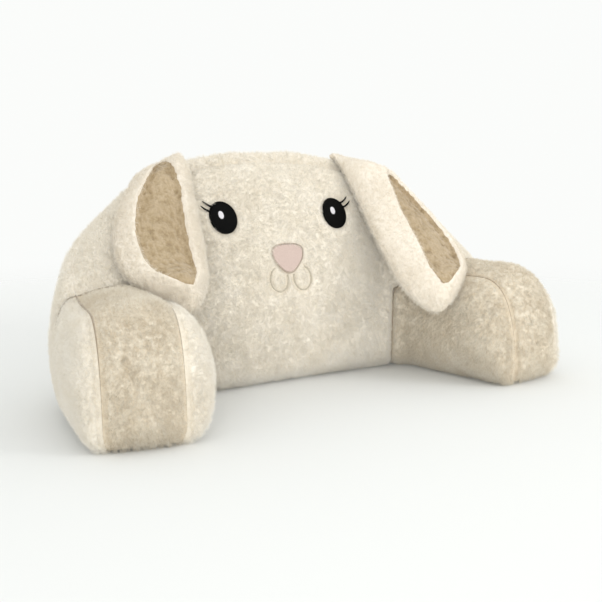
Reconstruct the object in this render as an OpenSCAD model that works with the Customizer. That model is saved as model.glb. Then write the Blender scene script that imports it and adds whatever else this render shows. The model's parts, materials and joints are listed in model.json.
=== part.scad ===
// Bunny-faced backrest pillow: a tall stuffed head that is leaned on, two boxed arms and two lop ears.
// Millimetres, +Z up, the face looks toward -Y, origin on the floor under the middle of the pillow.
// The body is one section swept along a U seen from above; s is the distance along that U from its middle,
// w the distance out from the line (toward the rear) and z the height.

/* [Overall form] */
// Half of the straight middle of the U
half_back = 189; // [120:1:260]
// Radius of the U's corners, on the centre line
corner_radius = 154; // [120:1:220]
// Angle each arm splays outward from straight ahead
splay = 10; // [0:1:35]
// Straight length of an arm beyond the corner
arm_straight = 201; // [120:1:280]
// Depth position of the straight middle of the U
back_y = 126; // [80:0.5:180]
// Height of the seam at the top of the head
head_height = 387; // [300:1:480]
// Height of the seam along the top of an arm
arm_height = 185; // [140:1:260]
// Distance along the U at which the head comes down to arm height
head_half = 422; // [340:1:500]
// How square the head's dome is
dome_power = 2.54; // [1.5:0.02:4]
// Softness of the step from head to arm
shoulder_blend = 18; // [5:1:40]
// Size of the rounding from an arm's top to its front
front_round = 84; // [40:1:120]
// Squareness of that rounding
front_power = 2.6; // [2:0.1:4]

/* [Section] */
// Half width of an arm between its two long seams
arm_half = 59; // [40:1:80]
// Half width left between the seams on top of the head
crown_half = 13; // [8:1:30]
// Half width of the head where it stands on the floor
head_base_half = 48; // [30:1:80]
// How far the stuffing swells the face forward
face_bulge = 72; // [30:1:100]
// How far it swells the back of the head
rear_bulge = 51; // [20:1:80]
// How far it swells the inside of an arm
inner_bulge = 51; // [20:1:70]
// How far it swells the outside of an arm
outer_bulge = 34; // [15:1:60]
// How far it swells the strips on top
crown_bulge = 18; // [8:1:30]
// Fullness of the swelling, smaller is fuller
bulge_power = 0.58; // [0.4:0.02:1]
// How low on the head the swelling is fullest, smaller is lower
bulge_low = 0.57; // [0.4:0.01:1]
// Distance along the U where the head's section starts to change
head_end = 203; // [150:1:260]
// Distance along the U where the arm's own section begins
arm_start = 418; // [340:1:480]
// Thickness of the fur cloth with its pile pressed down
cloth = 5; // [2:0.5:10]
// Thickness of the woven cloth underneath
base_cloth = 3; // [1:0.5:6]
// Room left between the stuffing and the fur cloth
stuffing_gap = 2; // [0.5:0.5:5]

/* [Arm seam and flex] */
// Distance along the U of the seam between face and inner arm panel
seam_s = 284; // [240:1:330]
// Sideways position of the upright line an arm flexes about
flex_x = 324; // [280:1:360]
// Depth position of that line
flex_y = 107; // [60:1:160]
// Radius of the seam about that line at the floor
flex_low = 91; // [70:1:120]
// Radius of the seam about that line above the swell
flex_high = 141; // [110:1:170]
// Height at which the larger radius is reached
flex_rise = 60; // [30:1:100]
// Clearance between the head's stuffing and an arm's
flex_gap = 1.5; // [0.4:0.1:3]

/* [Ears] */
// Thickness of an ear between its face and its back
ear_thick = 40; // [20:1:60]
// How far the lining is sunk below the rolled rim
ear_dip = 17; // [5:1:30]
// Width of the lining as a share of the ear's width
lining_share = 0.56; // [0.3:0.02:0.8]
// How far the middle of an ear arches away from the head
ear_arch = 16; // [0:1:40]
// Radius of the rolled seam an ear swings from
root_radius = 7; // [4:0.5:12]

/* [Face] */
// Sideways distance from the middle to an eye
eye_x = 115; // [80:1:140]
// Height of the eyes
eye_z = 296; // [250:1:340]
// Width of an eye
eye_wide = 50; // [30:1:70]
// Height of an eye
eye_tall = 55; // [30:1:75]
// Lean of the eyes, tops toward the viewer's left
eye_lean = 8; // [-20:1:20]
// Height of the middle of the nose
nose_z = 222; // [180:1:260]
// Width of the nose
nose_wide = 76; // [40:1:90]
// Height of the nose
nose_tall = 48; // [30:1:70]
// Height of the middle of the mouth stitching
mouth_z = 187; // [150:1:220]
// Sideways distance from the middle to the middle of one loop of the mouth
mouth_x = 24; // [18:1:40]
// Width of one loop of the mouth
mouth_loop = 36; // [20:1:50]
// Height of one loop of the mouth
mouth_tall = 42; // [20:1:50]
// Radius of a stitched line
thread = 1.3; // [0.8:0.1:3]

/* [Zipper] */
// Height of the zipper on the back of the head
zip_z = 62; // [40:1:120]
// Half length of the zipper
zip_half = 170; // [100:1:185]
// Width of one zipper tape
tape_wide = 13; // [8:1:18]
// Spacing of the zipper teeth
tooth_pitch = 5; // [3:0.5:8]

/* [Hidden] */
corner_turn = 90 - splay;
corner_length = corner_radius * corner_turn * PI / 180;
path_end = half_back + corner_length + arm_straight;
tape_thick = 0.9;
zip_slot = 12;
tooth_gap = 2;
zip_y = back_y + side_width(0, zip_z / head_height, 1) + 0.95;
slider_long = 17;
slider_start = zip_half - 14;
pin_y = zip_y + 4.4;

// Named parts, one module each

// ---------- the swept body ----------
function clamp(v, lo, hi) = max(lo, min(hi, v));
function mix(a, b, k) = a + (b - a) * k;
function smooth(v) = let (u = clamp(v, 0, 1)) u * u * (3 - 2 * u);
function bend(s) = clamp((s - half_back) / corner_radius * 180 / PI, 0, corner_turn);
function along(s) = max(s - half_back - corner_length, 0);

// A point at distance s along the U, w out from it and z up; negative s is the left half
function place(s, w, z) =
    let (q = abs(s), a = bend(q), side = s < 0 ? -1 : 1,
         x = min(q, half_back) + corner_radius * sin(a) + along(q) * cos(corner_turn),
         y = back_y - corner_radius * (1 - cos(a)) - along(q) * sin(corner_turn))
    [side * (x + sin(a) * w), y + cos(a) * w, z];

// 1 on the head, 0 on an arm
function head_share(s) = smooth((arm_start - abs(s)) / (arm_start - head_end));

// Height of the seams: the dome of the head, the level arm, then the rounded front
function level(s) =
    let (dome = head_height - (head_height - arm_height) * pow(abs(s) / head_half, dome_power),
         over = dome - arm_height)
    arm_height + (over + sqrt(over * over + shoulder_blend * shoulder_blend)) / 2;
function seam_z(s) =
    let (u = clamp((abs(s) - path_end + front_round) / front_round, 0, 1))
    level(s) * pow(1 - pow(u, front_power), 1 / front_power);

function seam_half(s) = mix(arm_half, crown_half, head_share(s));
function base_half(s) = mix(arm_half, head_base_half, head_share(s));
function bulge(s, side) =
    side < 0 ? mix(inner_bulge, face_bulge, head_share(s)) : mix(outer_bulge, rear_bulge, head_share(s));

// Distance out to the swollen side, t from 0 at the floor to 1 at the seam; side is -1 inside, 1 outside
function side_width(s, t, side) =
    let (low = pow(t, mix(1, bulge_low, head_share(s))), full = max(4 * low * (1 - low), 0))
    mix(base_half(s), seam_half(s), t)
        + bulge(s, side) * pow(full, bulge_power) * pow(clamp(seam_z(s) / arm_height, 0, 1), 0.7);
function side_point(s, t, side, inset) =
    place(s, side * (side_width(s, t, side) - inset), t * seam_z(s));

// A point on the top strip, v from -1 at the inner seam to 1 at the outer one; it swells forward at the front
function top_point(s, v, rise) =
    let (step = 0.5, q = abs(s), near = min(q, path_end - step),
         slope = (seam_z(near + step) - seam_z(near - step)) / (2 * step),
         size = sqrt(1 + slope * slope), swell = crown_bulge * (1 - v * v) * rise,
         out = q + swell * -slope / size)
    place(s < 0 ? -out : out, v * seam_half(s), seam_z(s) + swell / size);

// Stations along the U from a to b, closer together round the front
function front_s(k) = path_end - front_round + front_round * pow(sin(k), 2 / front_power);
function stations(a, steps) = [for (i = [0 : steps]) mix(a, path_end - front_round, i / steps)];
function arm_stations(a) = concat(stations(a, 9), [for (k = [15, 30, 45, 60, 72, 81, 86, 88.6]) front_s(k)]);
head_stations = [for (i = [-16 : 16]) i * 25.5];
levels = [0, 0.02, 0.06, 0.13, 0.22, 0.34, 0.48, 0.62, 0.75, 0.86, 0.94, 0.985, 1];
strip_marks = [-1, -0.7, -0.35, 0, 0.35, 0.7, 1];

// ---------- builders ----------
// A closed sheet between two equal grids of points
module sheet(top, under) {
    rows = len(top);
    cols = len(top[0]);
    half = rows * cols;
    function id(i, j, k) = k * half + i * cols + j;
    rim = concat([for (j = [0 : cols - 1]) [0, j]], [for (i = [1 : rows - 1]) [i, cols - 1]],
                 [for (j = [cols - 2 : -1 : 0]) [rows - 1, j]], [for (i = [rows - 2 : -1 : 1]) [i, 0]]);
    polyhedron(
        points = concat([for (r = top) each r], [for (r = under) each r]),
        faces = concat(
            [for (i = [0 : rows - 2], j = [0 : cols - 2]) each [
                [id(i, j, 0), id(i, j + 1, 0), id(i + 1, j + 1, 0)],
                [id(i, j, 0), id(i + 1, j + 1, 0), id(i + 1, j, 0)],
                [id(i, j, 1), id(i + 1, j + 1, 1), id(i, j + 1, 1)],
                [id(i, j, 1), id(i + 1, j, 1), id(i + 1, j + 1, 1)]]],
            [for (n = [0 : len(rim) - 1]) let (p = rim[n], q = rim[(n + 1) % len(rim)]) each [
                [id(p[0], p[1], 0), id(p[0], p[1], 1), id(q[0], q[1], 1)],
                [id(p[0], p[1], 0), id(q[0], q[1], 1), id(q[0], q[1], 0)]]]),
        convexity = 8);
}

// A closed body through a list of equal rings, flat at both ends
module loft(rings) {
    rows = len(rings);
    cols = len(rings[0]);
    polyhedron(
        points = [for (r = rings) each r],
        faces = concat(
            [[for (j = [0 : cols - 1]) j]],
            [[for (j = [cols - 1 : -1 : 0]) (rows - 1) * cols + j]],
            [for (i = [0 : rows - 2], j = [0 : cols - 1]) let (n = (j + 1) % cols) each [
                [i * cols + j, (i + 1) * cols + j, (i + 1) * cols + n],
                [i * cols + j, (i + 1) * cols + n, i * cols + n]]]),
        convexity = 8);
}

// A round cord through a list of points, its sides square to across
module cord(path, radius, across) {
    last = len(path) - 1;
    loft([for (i = [0 : last])
        let (ahead = path[min(i + 1, last)] - path[max(i - 1, 0)], e1 = cross(ahead, across),
             a = e1 / norm(e1), e2 = cross(ahead, a), b = e2 / norm(e2))
        [for (k = [0 : 60 : 300]) path[i] + radius * (a * cos(k) + b * sin(k))]]);
}

module mirrored(side) {
    if (side < 0) mirror([1, 0, 0]) children();
    else children();
}

// ---------- head and arms ----------
// The space an arm takes: beyond the face seam and outside the cone the arm flexes about
module arm_zone(gap) {
    a = bend(seam_s);
    seam = place(seam_s, 0, 0);
    difference() {
        translate([seam[0], seam[1], -5]) rotate([0, 0, 90 - a]) translate([-400, -600 - gap, 0])
            cube([800, 600, 500]);
        translate([flex_x, flex_y, 0]) rotate_extrude($fn = 90)
            polygon([[0, -10], [flex_low + gap, -10], [flex_low + gap, 0], [flex_high + gap, flex_rise],
                     [flex_high + gap, 600], [0, 600]]);
    }
}

module head_part() {
    difference() {
        children();
        arm_zone(0);
        mirror([1, 0, 0]) arm_zone(0);
    }
}

module arm_part(side) {
    mirrored(side) intersection() {
        children();
        arm_zone(flex_gap);
    }
}

module side_sheet(list, side) {
    outer = [for (s = list) [for (t = levels) side_point(s, t, side, 0)]];
    inner = [for (s = list) [for (t = levels) side_point(s, t, side, cloth)]];
    if (side < 0) sheet(outer, inner);
    else sheet(inner, outer);
}

module strip_sheet(list) {
    outer = [for (s = list) [for (v = strip_marks) top_point(s, v, 1) + [0, 0, 0.6]]];
    inner = [for (s = list) [for (v = strip_marks) top_point(s, v, 0.74)]];
    sheet(inner, outer);
}

module base_sheet(list) {
    edge = cloth + 0.2;
    low = [for (s = list) [for (v = [-1, 0, 1]) place(s, v * (base_half(s) - edge), 0)]];
    high = [for (s = list) [for (v = [-1, 0, 1]) place(s, v * (base_half(s) - edge), base_cloth)]];
    sheet(low, high);
}

// Stuffing: the same section pulled in by the cloth
function fill_ring(s) =
    let (inset = cloth + stuffing_gap, low = base_cloth + 0.3, high = max(seam_z(s) - 1.5, low + 1))
    concat(
        [for (t = levels) place(s, -(side_width(s, t, -1) - inset), mix(low, high, t))],
        [for (v = [-0.6, 0, 0.6])
            let (p = top_point(s, v, 0.68)) place(s, v * (seam_half(s) - inset), max(p[2] - 0.4, high))],
        [for (i = [len(levels) - 1 : -1 : 0])
            place(s, side_width(s, levels[i], 1) - inset, mix(low, high, levels[i]))]);

module back_filling() {
    color([0.97, 0.97, 0.95]) head_part() loft([for (i = [-16 : 16]) fill_ring(i * 25.5)]);
}

module face_panel() {
    color([0.86, 0.81, 0.72]) head_part() side_sheet(head_stations, -1);
}

module rear_panel() {
    color([0.86, 0.81, 0.72]) difference() {
        head_part() side_sheet(head_stations, 1);
        translate([-zip_half - 4, zip_y - 14, zip_z - zip_slot / 2]) cube([2 * zip_half + 8, 30, zip_slot]);
    }
}

module back_base_cloth() {
    color([0.55, 0.52, 0.47]) head_part() base_sheet(head_stations);
}

// The strip along the top of an arm runs up over the shoulder and narrows onto the head
module left_shoulder_strip() {
    color([0.86, 0.81, 0.72]) mirror([1, 0, 0]) shoulder_strip();
}

module right_shoulder_strip() {
    color([0.86, 0.81, 0.72]) shoulder_strip();
}

module shoulder_strip() {
    head_part() strip_sheet([for (i = [0 : 17]) i * 25.5]);
}

module left_arm_filling() {
    color([0.97, 0.97, 0.95]) arm_filling(-1);
}

module right_arm_filling() {
    color([0.97, 0.97, 0.95]) arm_filling(1);
}

module arm_filling(side) {
    arm_part(side) loft([for (s = arm_stations(250)) fill_ring(s - cloth)]);
}

module left_arm_gusset() {
    color([0.86, 0.81, 0.72]) arm_gusset(-1);
}

module right_arm_gusset() {
    color([0.86, 0.81, 0.72]) arm_gusset(1);
}

module arm_gusset(side) {
    arm_part(side) strip_sheet(arm_stations(250));
}

module left_inner_panel() {
    color([0.86, 0.81, 0.72]) arm_part(-1) side_sheet(arm_stations(250), -1);
}

module right_inner_panel() {
    color([0.86, 0.81, 0.72]) arm_part(1) side_sheet(arm_stations(250), -1);
}

module left_outer_panel() {
    color([0.86, 0.81, 0.72]) arm_part(-1) side_sheet(arm_stations(250), 1);
}

module right_outer_panel() {
    color([0.86, 0.81, 0.72]) arm_part(1) side_sheet(arm_stations(250), 1);
}

module left_arm_base_cloth() {
    color([0.55, 0.52, 0.47]) arm_part(-1) base_sheet(arm_stations(250));
}

module right_arm_base_cloth() {
    color([0.55, 0.52, 0.47]) arm_part(1) base_sheet(arm_stations(250));
}

// ---------- ears ----------
// Each ear is spread between an inner and an outer edge, both running from the root seam to the tip
left_inner_edge = [[163, 127, 400], [174, 72, 356], [190, -6, 241], [223, -91, 161]];
left_outer_edge = [[250, 100, 365], [281, 76, 344], [406, -10, 222], [288, -92, 184]];
right_inner_edge = [[152, 127, 400], [164, 76, 358], [152, -6, 234], [172, -124, 118]];
right_outer_edge = [[244, 104, 365], [270, 74, 318], [380, -34, 214], [256, -142, 158]];

function curve(c, u) =
    let (k = 1 - u) c[0] * k * k * k + c[1] * 3 * k * k * u + c[2] * 3 * k * u * u + c[3] * u * u * u;
function inner_edge(side) = side < 0 ? left_inner_edge : right_inner_edge;
function outer_edge(side) = side < 0 ? left_outer_edge : right_outer_edge;

// How full the ear is along its length: drawn in at the root, rounded off at the tip
function ear_full(u) = sqrt(clamp(1 - pow(clamp((u - 0.8) / 0.2, 0, 1), 2), 0.0004, 1));
function ear_root_share(u) = smooth(u / 0.22);

// Frame of the ear at u: middle, half width vector, direction away from the head
function ear_frame(side, u) =
    let (p = curve(inner_edge(side), u), q = curve(outer_edge(side), u), step = 0.01,
         p2 = curve(inner_edge(side), min(u + step, 1)), q2 = curve(outer_edge(side), min(u + step, 1)),
         p1 = curve(inner_edge(side), u - step), q1 = curve(outer_edge(side), u - step),
         run = (p2 + q2) / 2 - (p1 + q1) / 2, wide = (q - p) / 2, up = cross(run, wide))
    [(p + q) / 2, wide, up / norm(up)];

// A point of the ear: v from -1 to 1 across it, h its height from the back of the ear
function ear_point(side, u, v, h) =
    let (f = ear_frame(side, u))
    f[0] + f[1] * v * ear_full(u) + f[2] * (h - ear_arch * ear_root_share(u) * (v * v - 0.5));
function ear_height(u) = mix(root_radius * 1.6, ear_thick, ear_root_share(u)) * ear_full(u);
function ear_round(v) = pow(max(1 - pow(abs(v), 2.6), 0), 1 / 2.6);
function ear_front(u, v) =
    let (dip = ear_dip * ear_root_share(u) * ear_full(u) * smooth((0.97 - u) / 0.2))
    ear_height(u) * (0.42 + 0.58 * ear_round(v)) - dip * smooth((lining_share + 0.12 - abs(v)) / 0.24);
function ear_back(u, v) = ear_height(u) * (0.42 - 0.42 * ear_round(v));

ear_marks = [-1, -0.96, -0.86, -0.72, -0.6, -0.44, -0.2, 0, 0.2, 0.44, 0.6, 0.72, 0.86, 0.96, 1];
ear_under = [0.9, 0.6, 0.2, -0.2, -0.6, -0.9];
ear_steps = [for (i = [0 : 16]) i == 16 ? 0.985 : 0.02 + 0.0575 * i];

function ear_ring(side, u, inset) =
    let (f = ear_frame(side, u), half = max(norm(f[1]) * ear_full(u), 1), k = max(half - inset, 0.5) / half,
         mid = ear_height(u) * 0.42, tall = max(ear_height(u) - 2 * inset, 0.6) / ear_height(u))
    concat([for (v = ear_marks) ear_point(side, u, -v * k, mid + (ear_front(u, v) - mid) * tall)],
           [for (v = ear_under) ear_point(side, u, -v * k, mid + (ear_back(u, v) - mid) * tall)]);

// The same ring on the ear's own side of the head
function on_side(side, ring) =
    side > 0 ? ring : [for (i = [len(ring) - 1 : -1 : 0]) [-ring[i][0], ring[i][1], ring[i][2]]];

// The sewn cloth of an ear, open at the root where it is stitched down: its inside, then its outside
module ear_shell(side) {
    loft(concat(
        [for (i = [15 : -1 : 0]) on_side(side, ear_ring(side, ear_steps[i], cloth))],
        [for (i = [0 : 16]) on_side(side, ear_ring(side, ear_steps[i], 0))]));
}

module ear_batting(side) {
    loft([for (i = [1 : 15]) on_side(side, ear_ring(side, ear_steps[i], cloth + stuffing_gap))]);
}

module ear_lining(side) {
    marks = [for (v = ear_marks) if (abs(v) < lining_share + 0.05) v];
    steps = [for (i = [3 : 15]) ear_steps[i]];
    under = [for (u = steps) [for (v = marks) ear_point(side, u, v, ear_front(u, v) + 0.6)]];
    top = [for (u = steps) [for (v = marks) ear_point(side, u, v, ear_front(u, v) + 3.6)]];
    mirrored(side) sheet(under, top);
}

// The sewn root: a rolled seam along the top of the head, the line the ear swings about
function root_line(side) =
    [for (k = [0 : 0.25 : 1]) mix(inner_edge(side)[0], outer_edge(side)[0], k)];

module ear_root(side) {
    mirrored(side) cord(root_line(side), root_radius, [0, 0, 1]);
}

module left_ear_root() {
    color([0.84, 0.79, 0.7]) ear_root(-1);
}

module right_ear_root() {
    color([0.84, 0.79, 0.7]) ear_root(1);
}

module left_ear_shell() {
    color([0.88, 0.83, 0.75]) ear_shell(-1);
}

module right_ear_shell() {
    color([0.88, 0.83, 0.75]) ear_shell(1);
}

module left_ear_lining() {
    color([0.76, 0.68, 0.56]) ear_lining(-1);
}

module right_ear_lining() {
    color([0.76, 0.68, 0.56]) ear_lining(1);
}

module left_ear_batting() {
    color([0.97, 0.97, 0.95]) ear_batting(-1);
}

module right_ear_batting() {
    color([0.97, 0.97, 0.95]) ear_batting(1);
}

// ---------- face ----------
// A point on the face at x across and z up, lifted forward off the cloth
function on_face(x, z, lift) = place(x, -(side_width(x, z / seam_z(x), -1) + lift), z);

// A patch sewn flat on the face inside an outline of [x, z] points
module patch(outline, low, high) {
    middle = [for (k = [0, 1]) [for (p = outline) p[k]] * [for (p = outline) 1] / len(outline)];
    loft([for (step = [[0.02, low], [0.55, low], [1, low], [1, high], [0.55, high], [0.02, high]])
        [for (p = outline) let (q = mix(middle, p, step[0])) on_face(q[0], q[1], step[1])]]);
}

function oval(x, z, wide, tall, lean) =
    [for (k = [0 : 15 : 345]) let (a = wide / 2 * cos(k), b = tall / 2 * sin(k))
        [x + a * cos(lean) - b * sin(lean), z + a * sin(lean) + b * cos(lean)]];

module eye(side) {
    patch(oval(side * eye_x, eye_z, eye_wide, eye_tall, eye_lean), 0.3, 2.6);
}

module eye_light(side) {
    patch(oval(side * eye_x - 5, eye_z + 5, 10, 14, eye_lean), 2.8, 4);
}

// Two stitched lashes curling up from the eye's outer shoulder
module lashes(side) {
    for (n = [0, 1]) {
        start = [side * (eye_x + eye_wide * (0.50 - 0.1 * n)), eye_z + eye_tall * (0.2 + 0.14 * n)];
        path = [for (k = [0 : 0.2 : 1]) [start[0] + side * (1 + 17 * k), start[1] + 3 * k + 7 * k * k]];
        cord([for (p = path) on_face(p[0], p[1], thread + 0.3)], thread, [0, 1, 0]);
    }
}

module left_eye() {
    color([0.03, 0.03, 0.03]) eye(-1);
}

module right_eye() {
    color([0.03, 0.03, 0.03]) eye(1);
}

module left_eye_light() {
    color([0.92, 0.91, 0.93]) eye_light(-1);
}

module right_eye_light() {
    color([0.92, 0.91, 0.93]) eye_light(1);
}

module left_lashes() {
    color([0.03, 0.03, 0.03]) lashes(-1);
}

module right_lashes() {
    color([0.03, 0.03, 0.03]) lashes(1);
}

// Rounded triangle, point down
function nose_outline(grow) =
    [for (k = [0 : 12 : 348]) let (drop = (1 - sin(k)) / 2, narrow = 1 - 0.62 * pow(drop, 1.3))
        [(nose_wide / 2 + grow) * sign(cos(k)) * pow(abs(cos(k)), 0.75) * narrow,
         nose_z + (nose_tall / 2 + grow) * (sin(k) > 0 ? pow(sin(k), 0.8) : sin(k))]];

module nose_patch() {
    color([0.86, 0.7, 0.67]) patch(nose_outline(0), 0.3, 2.4);
}

module nose_stitching() {
    line = nose_outline(thread + 1);
    color([0.72, 0.6, 0.53]) cord([for (p = line) on_face(p[0], p[1], thread + 0.3)], thread, [0, 1, 0]);
}

// Two loops hanging from under the nose
module mouth_stitching() {
    color([0.8, 0.74, 0.63]) for (side = [-1, 1]) {
        path = [for (k = [-20 : 18 : 250])
            [side * (mouth_x - mouth_loop / 2 * cos(k)), mouth_z - mouth_tall / 2 * sin(k)]];
        cord([for (p = path) on_face(p[0], p[1], thread + 0.3)], thread, [0, 1, 0]);
    }
}

// ---------- zipper ----------
module tape(up) {
    translate([-zip_half, zip_y - tape_thick, up > 0 ? zip_z + tooth_gap / 2 : zip_z - tooth_gap / 2 - tape_wide])
        cube([2 * zip_half, tape_thick, tape_wide]);
}

module teeth(up) {
    for (x = [-zip_half + 4 : tooth_pitch : zip_half - 4])
        translate([x, zip_y - tape_thick - 0.8, up > 0 ? zip_z + tooth_gap / 2 : zip_z - tooth_gap / 2 - 2.2])
            cube([tooth_pitch * 0.6, tape_thick + 1.6, 2.2]);
}

module upper_zipper_tape() {
    color([0.85, 0.81, 0.74]) tape(1);
}

module lower_zipper_tape() {
    color([0.85, 0.81, 0.74]) tape(-1);
}

module upper_zipper_teeth() {
    color([0.9, 0.87, 0.8]) teeth(1);
}

module lower_zipper_teeth() {
    color([0.9, 0.87, 0.8]) teeth(-1);
}

module zipper_stops() {
    color([0.7, 0.7, 0.7]) for (x = [-zip_half + 0.5, zip_half - 3])
        translate([x, zip_y - tape_thick - 1, zip_z - 3.4]) cube([2.5, tape_thick + 2, 6.8]);
}

// Two plates joined by a thin post that runs between the rows of teeth, and a bridge for the pull
module zipper_slider() {
    color([0.72, 0.72, 0.72]) translate([slider_start - slider_long, 0, zip_z]) {
        translate([0, zip_y + 1.2, -5]) cube([slider_long, 1.2, 10]);
        translate([0, zip_y - 3.5, -5]) cube([slider_long, 1.2, 10]);
        translate([2, zip_y - 3, -0.6]) cube([5, 5, 1.2]);
        for (x = [3, 12]) translate([x, zip_y + 2, -1.5]) cube([2, 5, 3]);
        translate([3, zip_y + 6, -1.5]) cube([11, 1.2, 3]);
    }
}

module zipper_pull() {
    color([0.72, 0.72, 0.72]) {
        translate([slider_start - slider_long + 8.5, pin_y, zip_z - 4]) cylinder(h = 8, r = 0.9, $fn = 24);
        for (z = [-4, 2.6]) translate([slider_start - slider_long - 5, pin_y - 0.9, zip_z + z])
            cube([13.5, 1.8, 1.4]);
        translate([slider_start - slider_long - 24, pin_y - 0.9, zip_z - 4]) cube([19.5, 1.8, 8]);
    }
}

// Blank sewn-in label, hanging from the zipper's lower tape
module care_label() {
    color([0.96, 0.96, 0.94]) translate([-zip_half + 12, zip_y + 0.05, zip_z - 46]) cube([26, 0.6, 38]);
}

back_filling();
face_panel();
rear_panel();
back_base_cloth();
left_shoulder_strip();
right_shoulder_strip();
left_eye();
right_eye();
left_eye_light();
right_eye_light();
left_lashes();
right_lashes();
nose_patch();
nose_stitching();
mouth_stitching();
upper_zipper_tape();
lower_zipper_tape();
upper_zipper_teeth();
lower_zipper_teeth();
zipper_stops();
zipper_slider();
zipper_pull();
care_label();
left_arm_filling();
left_arm_gusset();
left_inner_panel();
left_outer_panel();
left_arm_base_cloth();
right_arm_filling();
right_arm_gusset();
right_inner_panel();
right_outer_panel();
right_arm_base_cloth();
left_ear_root();
left_ear_shell();
left_ear_lining();
left_ear_batting();
right_ear_root();
right_ear_shell();
right_ear_lining();
right_ear_batting();
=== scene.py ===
"""The looks of the bunny-faced backrest pillow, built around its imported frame.

The pillow's body is one section swept along a U seen from above: s is the distance along that U from its
middle (negative on the viewer's left), w the distance out from it toward the rear, z the height. The forms
are worked out in millimetres and turned into metres when a mesh is made.
"""

import json
import math

import bpy
import numpy as np
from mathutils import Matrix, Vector

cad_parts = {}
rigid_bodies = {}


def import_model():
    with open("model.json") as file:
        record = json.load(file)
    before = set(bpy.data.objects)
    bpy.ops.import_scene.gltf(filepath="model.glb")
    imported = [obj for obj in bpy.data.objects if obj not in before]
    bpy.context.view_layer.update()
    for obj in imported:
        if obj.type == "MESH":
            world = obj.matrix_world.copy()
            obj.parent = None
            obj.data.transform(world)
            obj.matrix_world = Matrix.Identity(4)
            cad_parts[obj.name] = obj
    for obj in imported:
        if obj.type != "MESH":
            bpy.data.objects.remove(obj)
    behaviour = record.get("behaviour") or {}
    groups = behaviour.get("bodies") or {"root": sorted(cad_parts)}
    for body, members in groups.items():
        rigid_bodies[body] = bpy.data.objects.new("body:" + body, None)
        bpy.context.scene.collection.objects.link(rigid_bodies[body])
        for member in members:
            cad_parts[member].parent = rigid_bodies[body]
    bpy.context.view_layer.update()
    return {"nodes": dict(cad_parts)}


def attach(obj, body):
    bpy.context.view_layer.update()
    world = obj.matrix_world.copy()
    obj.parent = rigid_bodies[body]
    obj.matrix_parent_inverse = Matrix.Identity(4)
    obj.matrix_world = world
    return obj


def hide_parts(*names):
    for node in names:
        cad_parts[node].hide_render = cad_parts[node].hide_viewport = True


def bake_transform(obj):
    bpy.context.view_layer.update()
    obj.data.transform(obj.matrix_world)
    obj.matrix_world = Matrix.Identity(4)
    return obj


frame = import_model()

MM = 0.001

# ---------- the body's driving dimensions, millimetres ----------
HALF_BACK = 189.0
CORNER_RADIUS = 154.0
CORNER_TURN = math.radians(80)
ARM_STRAIGHT = 201.0
BACK_Y = 126.0
HEAD_HEIGHT = 387.0
ARM_HEIGHT = 185.0
HEAD_HALF = 422.0
DOME_POWER = 2.54
SHOULDER_BLEND = 18.0
FRONT_ROUND = 84.0
FRONT_POWER = 2.6
ARM_HALF = 59.0
CROWN_HALF = 13.0
HEAD_BASE_HALF = 48.0
FACE_BULGE = 72.0
REAR_BULGE = 51.0
INNER_BULGE = 51.0
OUTER_BULGE = 34.0
CROWN_BULGE = 18.0
BULGE_POWER = 0.58
BULGE_LOW = 0.57
HEAD_END = 203.0
ARM_START = 418.0
CLOTH = 5.0
BASE_CLOTH = 3.0
CORNER_LENGTH = CORNER_RADIUS * CORNER_TURN
PATH_END = HALF_BACK + CORNER_LENGTH + ARM_STRAIGHT

# The seam between head and arm, round the upright line that the arm flexes about
SEAM_S = 284.0
SEAM_LIMIT = 500.0
FLEX_X = 324.0
FLEX_Y = 107.0
FLEX_LOW = 91.0
FLEX_HIGH = 141.0
FLEX_RISE = 60.0
BLEND_START = 450.0
BLEND_END = 565.0

# Ears: the inner edge, then the outer edge of each, as the four control points of a curve from the root seam
# to the tip. Both ears are given on the right side of the head, and the left one is mirrored.
EAR_EDGES = {
    "left": ([[163, 127, 400], [174, 72, 356], [190, -6, 241], [223, -91, 161]],
             [[250, 100, 365], [281, 76, 344], [406, -10, 222], [288, -92, 184]]),
    "right": ([[152, 127, 400], [164, 76, 358], [152, -6, 234], [172, -124, 118]],
              [[244, 104, 365], [270, 74, 318], [380, -34, 214], [256, -142, 158]]),
}
EAR_THICK = 40.0
EAR_DIP = 17.0
# The sunken lining of each ear: its middle and half width, from -1 at the inner edge to 1 at the outer one,
# and the share of the ear's length at which it starts
LINING_AT = {"left": (0.02, 0.57, 0.06), "right": (0.24, 0.5, 0.22)}
LINING_END = 0.95
LINING_EDGE = 0.24
EAR_ARCH = 16.0
# Height of an ear's rim as a share of its thickness, and how square the ear's section is
EAR_MIDDLE = 0.42
EAR_SQUARENESS = 2.6
ROOT_RADIUS = 7.0

# Face
EYE_X = 115.0
EYE_Z = 296.0
EYE_WIDE = 50.0
EYE_TALL = 55.0
EYE_LEAN = math.radians(8)
EYE_LIFT = 2.4
GLINT_WIDE = 10.0
GLINT_TALL = 14.0
GLINT_OFFSET = 5.0
GLINT_LIFT = 4.0
LASH_LONG = 17.0
NOSE_Z = 222.0
NOSE_WIDE = 76.0
NOSE_TALL = 48.0
NOSE_LIFT = 1.4
MOUTH_X = 24.0
MOUTH_Z = 187.0
MOUTH_LOOP = 36.0
MOUTH_TALL = 42.0
THREAD = 1.3

# Zipper on the back of the head
ZIP_Z = 62.0
ZIP_HALF = 170.0

SIDES = {"left": -1, "right": 1}

# How far the cloth is drawn in at the floor, from which height, and how far back from an arm's front it aims
FOOT_TUCK = 13.0
FOOT_TUCK_HEIGHT = 30.0
FOOT_MIDDLE = 70.0

# Fur, and the valleys in which its panels are sewn together
PILE = 5.5
TUFT_HEIGHT = 1.5
GUSSET_TUFT_HEIGHT = 2.3
TUFT_SIZE = 10.0
SMALL_TUFT_SIZE = 5.5
FINE_TUFT_SIZE = 4.2
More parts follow.
